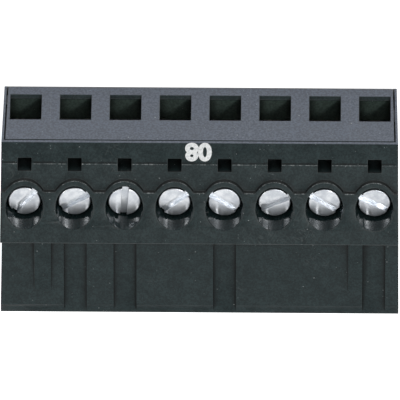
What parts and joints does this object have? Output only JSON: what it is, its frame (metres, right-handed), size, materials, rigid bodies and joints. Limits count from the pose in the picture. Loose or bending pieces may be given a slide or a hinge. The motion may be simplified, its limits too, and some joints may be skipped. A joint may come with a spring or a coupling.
{
  "type": "pluggable terminal block",
  "caption": "Plug-in screw terminal block with rising-cage wire clamps, a sloping screw deck with half-round collars and a grooved mating nose.",
  "frame": {"origin": "middle of the footprint, on the underside", "axes": "+X along the row of poles, -Y to the wire side, +Y to the mating side, +Z to the screw side"},
  "size_m": [0.0406, 0.0218, 0.016],
  "materials": {
    "housing_plastic": "black polyamide, spark-eroded satin",
    "plate_plastic": "black polyamide, satin",
    "screw_zinc": "zinc plated, turned",
    "cage_steel": "zinc plated, bent",
    "contact_tin": "tin plated copper alloy"
  },
  "bodies": {
    "plug_body": {"housing": "housing_plastic", "front_plate": "plate_plastic", "contact_1": "contact_tin", "contact_2": "contact_tin", "contact_3": "contact_tin", "contact_4": "contact_tin", "contact_5": "contact_tin", "contact_6": "contact_tin", "contact_7": "contact_tin", "contact_8": "contact_tin"},
    "screw_1": {"clamp_screw_1": "screw_zinc"},
    "cage_1": {"clamp_cage_1": "cage_steel"},
    "screw_2": {"clamp_screw_2": "screw_zinc"},
    "cage_2": {"clamp_cage_2": "cage_steel"},
    "screw_3": {"clamp_screw_3": "screw_zinc"},
    "cage_3": {"clamp_cage_3": "cage_steel"},
    "screw_4": {"clamp_screw_4": "screw_zinc"},
    "cage_4": {"clamp_cage_4": "cage_steel"},
    "screw_5": {"clamp_screw_5": "screw_zinc"},
    "cage_5": {"clamp_cage_5": "cage_steel"},
    "screw_6": {"clamp_screw_6": "screw_zinc"},
    "cage_6": {"clamp_cage_6": "cage_steel"},
    "screw_7": {"clamp_screw_7": "screw_zinc"},
    "cage_7": {"clamp_cage_7": "cage_steel"},
    "screw_8": {"clamp_screw_8": "screw_zinc"},
    "cage_8": {"clamp_cage_8": "cage_steel"}
  },
  "joints": [
    {"name": "screw_1_turn", "type": "hinge", "parent": "plug_body", "child": "screw_1", "pos_m": [-0.01778, -0.0057, 0.0115], "axis": [0, 0, -1], "range_deg": [0, 2881]},
    {"name": "cage_1_lift", "type": "slide", "parent": "plug_body", "child": "cage_1", "axis": [0, 0, 1], "range_m": [0, 0.0036]},
    {"name": "screw_2_turn", "type": "hinge", "parent": "plug_body", "child": "screw_2", "pos_m": [-0.0127, -0.0057, 0.0115], "axis": [0, 0, -1], "range_deg": [0, 2881]},
    {"name": "cage_2_lift", "type": "slide", "parent": "plug_body", "child": "cage_2", "axis": [0, 0, 1], "range_m": [0, 0.0036]},
    {"name": "screw_3_turn", "type": "hinge", "parent": "plug_body", "child": "screw_3", "pos_m": [-0.00762, -0.0057, 0.0115], "axis": [0, 0, -1], "range_deg": [0, 2881]},
    {"name": "cage_3_lift", "type": "slide", "parent": "plug_body", "child": "cage_3", "axis": [0, 0, 1], "range_m": [0, 0.0036]},
    {"name": "screw_4_turn", "type": "hinge", "parent": "plug_body", "child": "screw_4", "pos_m": [-0.00254, -0.0057, 0.0115], "axis": [0, 0, -1], "range_deg": [0, 2881]},
    {"name": "cage_4_lift", "type": "slide", "parent": "plug_body", "child": "cage_4", "axis": [0, 0, 1], "range_m": [0, 0.0036]},
    {"name": "screw_5_turn", "type": "hinge", "parent": "plug_body", "child": "screw_5", "pos_m": [0.00254, -0.0057, 0.0115], "axis": [0, 0, -1], "range_deg": [0, 2881]},
    {"name": "cage_5_lift", "type": "slide", "parent": "plug_body", "child": "cage_5", "axis": [0, 0, 1], "range_m": [0, 0.0036]},
    {"name": "screw_6_turn", "type": "hinge", "parent": "plug_body", "child": "screw_6", "pos_m": [0.00762, -0.0057, 0.0115], "axis": [0, 0, -1], "range_deg": [0, 2881]},
    {"name": "cage_6_lift", "type": "slide", "parent": "plug_body", "child": "cage_6", "axis": [0, 0, 1], "range_m": [0, 0.0036]},
    {"name": "screw_7_turn", "type": "hinge", "parent": "plug_body", "child": "screw_7", "pos_m": [0.0127, -0.0057, 0.0115], "axis": [0, 0, -1], "range_deg": [0, 2881]},
    {"name": "cage_7_lift", "type": "slide", "parent": "plug_body", "child": "cage_7", "axis": [0, 0, 1], "range_m": [0, 0.0036]},
    {"name": "screw_8_turn", "type": "hinge", "parent": "plug_body", "child": "screw_8", "pos_m": [0.01778, -0.0057, 0.0115], "axis": [0, 0, -1], "range_deg": [0, 2881]},
    {"name": "cage_8_lift", "type": "slide", "parent": "plug_body", "child": "cage_8", "axis": [0, 0, 1], "range_m": [0, 0.0036]}
  ],
  "couplings": [
    {"joint": "screw_1_turn", "follows": "cage_1_lift", "rad_per_m": 13963},
    {"joint": "screw_2_turn", "follows": "cage_2_lift", "rad_per_m": 13963},
    {"joint": "screw_3_turn", "follows": "cage_3_lift", "rad_per_m": 13963},
    {"joint": "screw_4_turn", "follows": "cage_4_lift", "rad_per_m": 13963},
    {"joint": "screw_5_turn", "follows": "cage_5_lift", "rad_per_m": 13963},
    {"joint": "screw_6_turn", "follows": "cage_6_lift", "rad_per_m": 13963},
    {"joint": "screw_7_turn", "follows": "cage_7_lift", "rad_per_m": 13963},
    {"joint": "screw_8_turn", "follows": "cage_8_lift", "rad_per_m": 13963}
  ]
}
